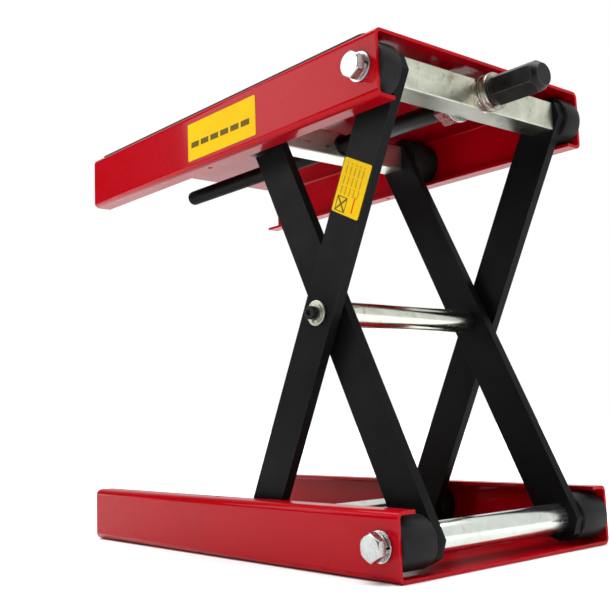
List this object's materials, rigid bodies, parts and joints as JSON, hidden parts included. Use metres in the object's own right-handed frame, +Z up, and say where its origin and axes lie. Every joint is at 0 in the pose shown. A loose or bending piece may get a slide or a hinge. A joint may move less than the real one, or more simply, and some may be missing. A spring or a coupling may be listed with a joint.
{
  "type": "scissor lift jack",
  "caption": "Screw-driven scissor lift: channel-section base and platform joined by crossed flat arms, raised by a hex-driven lead screw, with a ribbed rubber mat on top.",
  "frame": {"origin": "on the ground under the middle of the base channel", "axes": "+X along the channels towards the hex drive, +Z up, labels on the -Y side"},
  "size_m": [0.448, 0.2532, 0.3665],
  "materials": {
    "red_paint": "gloss powder coat",
    "black_paint": "satin",
    "zinc_plate": "satin zinc",
    "black_oxide": "oiled black oxide",
    "bearing_steel": "polished",
    "bush_black": "matte",
    "rubber": "matte",
    "label_yellow": "gloss film"
  },
  "bodies": {
    "base": {"base_frame": "red_paint", "base_bolts": "zinc_plate", "base_spring_washers": "zinc_plate", "base_washers": "zinc_plate", "base_spacers": "bush_black", "base_pivot_tube": "zinc_plate"},
    "inner_arms": {"inner_arm_near": "black_paint", "inner_arm_far": "black_paint", "centre_tube": "zinc_plate", "centre_axle": "black_oxide", "centre_washers": "zinc_plate", "centre_rings": "black_oxide", "centre_spacers": "zinc_plate"},
    "outer_arms": {"outer_arm_near": "black_paint", "outer_arm_far": "black_paint", "slide_tube": "zinc_plate", "slide_pins": "zinc_plate", "slide_pin_rings": "black_oxide", "arm_label": "label_yellow"},
    "platform": {"platform_frame": "red_paint", "rubber_mat": "rubber", "trunnion_bar": "zinc_plate", "platform_bolts": "zinc_plate", "platform_spring_washers": "zinc_plate", "platform_washers": "zinc_plate", "platform_spacers": "bush_black", "bearing_race_fixed": "bearing_steel", "wall_label": "label_yellow"},
    "nut_carriage": {"nut_bar": "zinc_plate", "drive_nut": "black_oxide", "nut_bar_pins": "zinc_plate", "nut_bar_pin_rings": "black_oxide"},
    "screw": {"lead_screw": "black_oxide", "hex_drive": "black_oxide", "bearing_race_turning": "bearing_steel", "collar_washer": "zinc_plate", "collar_nut": "zinc_plate", "collar_pin": "black_oxide"},
    "thrust_cage": {"bearing_cage": "bearing_steel", "bearing_balls": "bearing_steel"},
    "base_roller_near": {"base_roller_near": "bush_black"},
    "base_roller_far": {"base_roller_far": "bush_black"},
    "platform_roller_near": {"platform_roller_near": "bush_black"},
    "platform_roller_far": {"platform_roller_far": "bush_black"}
  },
  "joints": [
    {"name": "lift", "type": "hinge", "parent": "base", "child": "inner_arms", "pos_m": [0.1815, 0, 0.0225], "axis": [0, 1, 0], "range_deg": [-54.1, 5.4]},
    {"name": "centre_pivot", "type": "hinge", "parent": "inner_arms", "child": "outer_arms", "pos_m": [0.10385, 0, 0.181], "axis": [0, 1, 0], "range_deg": [-10.8, 108.2]},
    {"name": "platform_pivot", "type": "hinge", "parent": "outer_arms", "child": "platform", "pos_m": [0.1815, 0, 0.3395], "axis": [0, 1, 0], "range_deg": [-54.1, 5.4]},
    {"name": "nut_bar_pivot", "type": "hinge", "parent": "inner_arms", "child": "nut_carriage", "pos_m": [0.02619, 0, 0.3395], "axis": [0, 1, 0], "range_deg": [-5.4, 54.1]},
    {"name": "screw_turn", "type": "hinge", "parent": "platform", "child": "screw", "pos_m": [0.2, 0, 0.3395], "axis": [1, 0, 0], "continuous": true},
    {"name": "thrust_cage_turn", "type": "hinge", "parent": "platform", "child": "thrust_cage", "pos_m": [0.199, 0, 0.3395], "axis": [1, 0, 0], "continuous": true},
    {"name": "base_roller_near_turn", "type": "hinge", "parent": "outer_arms", "child": "base_roller_near", "pos_m": [0.02619, -0.106, 0.0225], "axis": [0, 1, 0], "continuous": true},
    {"name": "base_roller_far_turn", "type": "hinge", "parent": "outer_arms", "child": "base_roller_far", "pos_m": [0.02619, 0.106, 0.0225], "axis": [0, 1, 0], "continuous": true},
    {"name": "platform_roller_near_turn", "type": "hinge", "parent": "nut_carriage", "child": "platform_roller_near", "pos_m": [0.02619, -0.1, 0.3395], "axis": [0, 1, 0], "continuous": true},
    {"name": "platform_roller_far_turn", "type": "hinge", "parent": "nut_carriage", "child": "platform_roller_far", "pos_m": [0.02619, 0.1, 0.3395], "axis": [0, 1, 0], "continuous": true}
  ],
  "couplings": [
    {"joint": "centre_pivot", "follows": "lift", "ratio": -2},
    {"joint": "platform_pivot", "follows": "lift", "ratio": 1},
    {"joint": "nut_bar_pivot", "follows": "lift", "ratio": -1},
    {"joint": "thrust_cage_turn", "follows": "screw_turn", "ratio": 0.5}
  ]
}
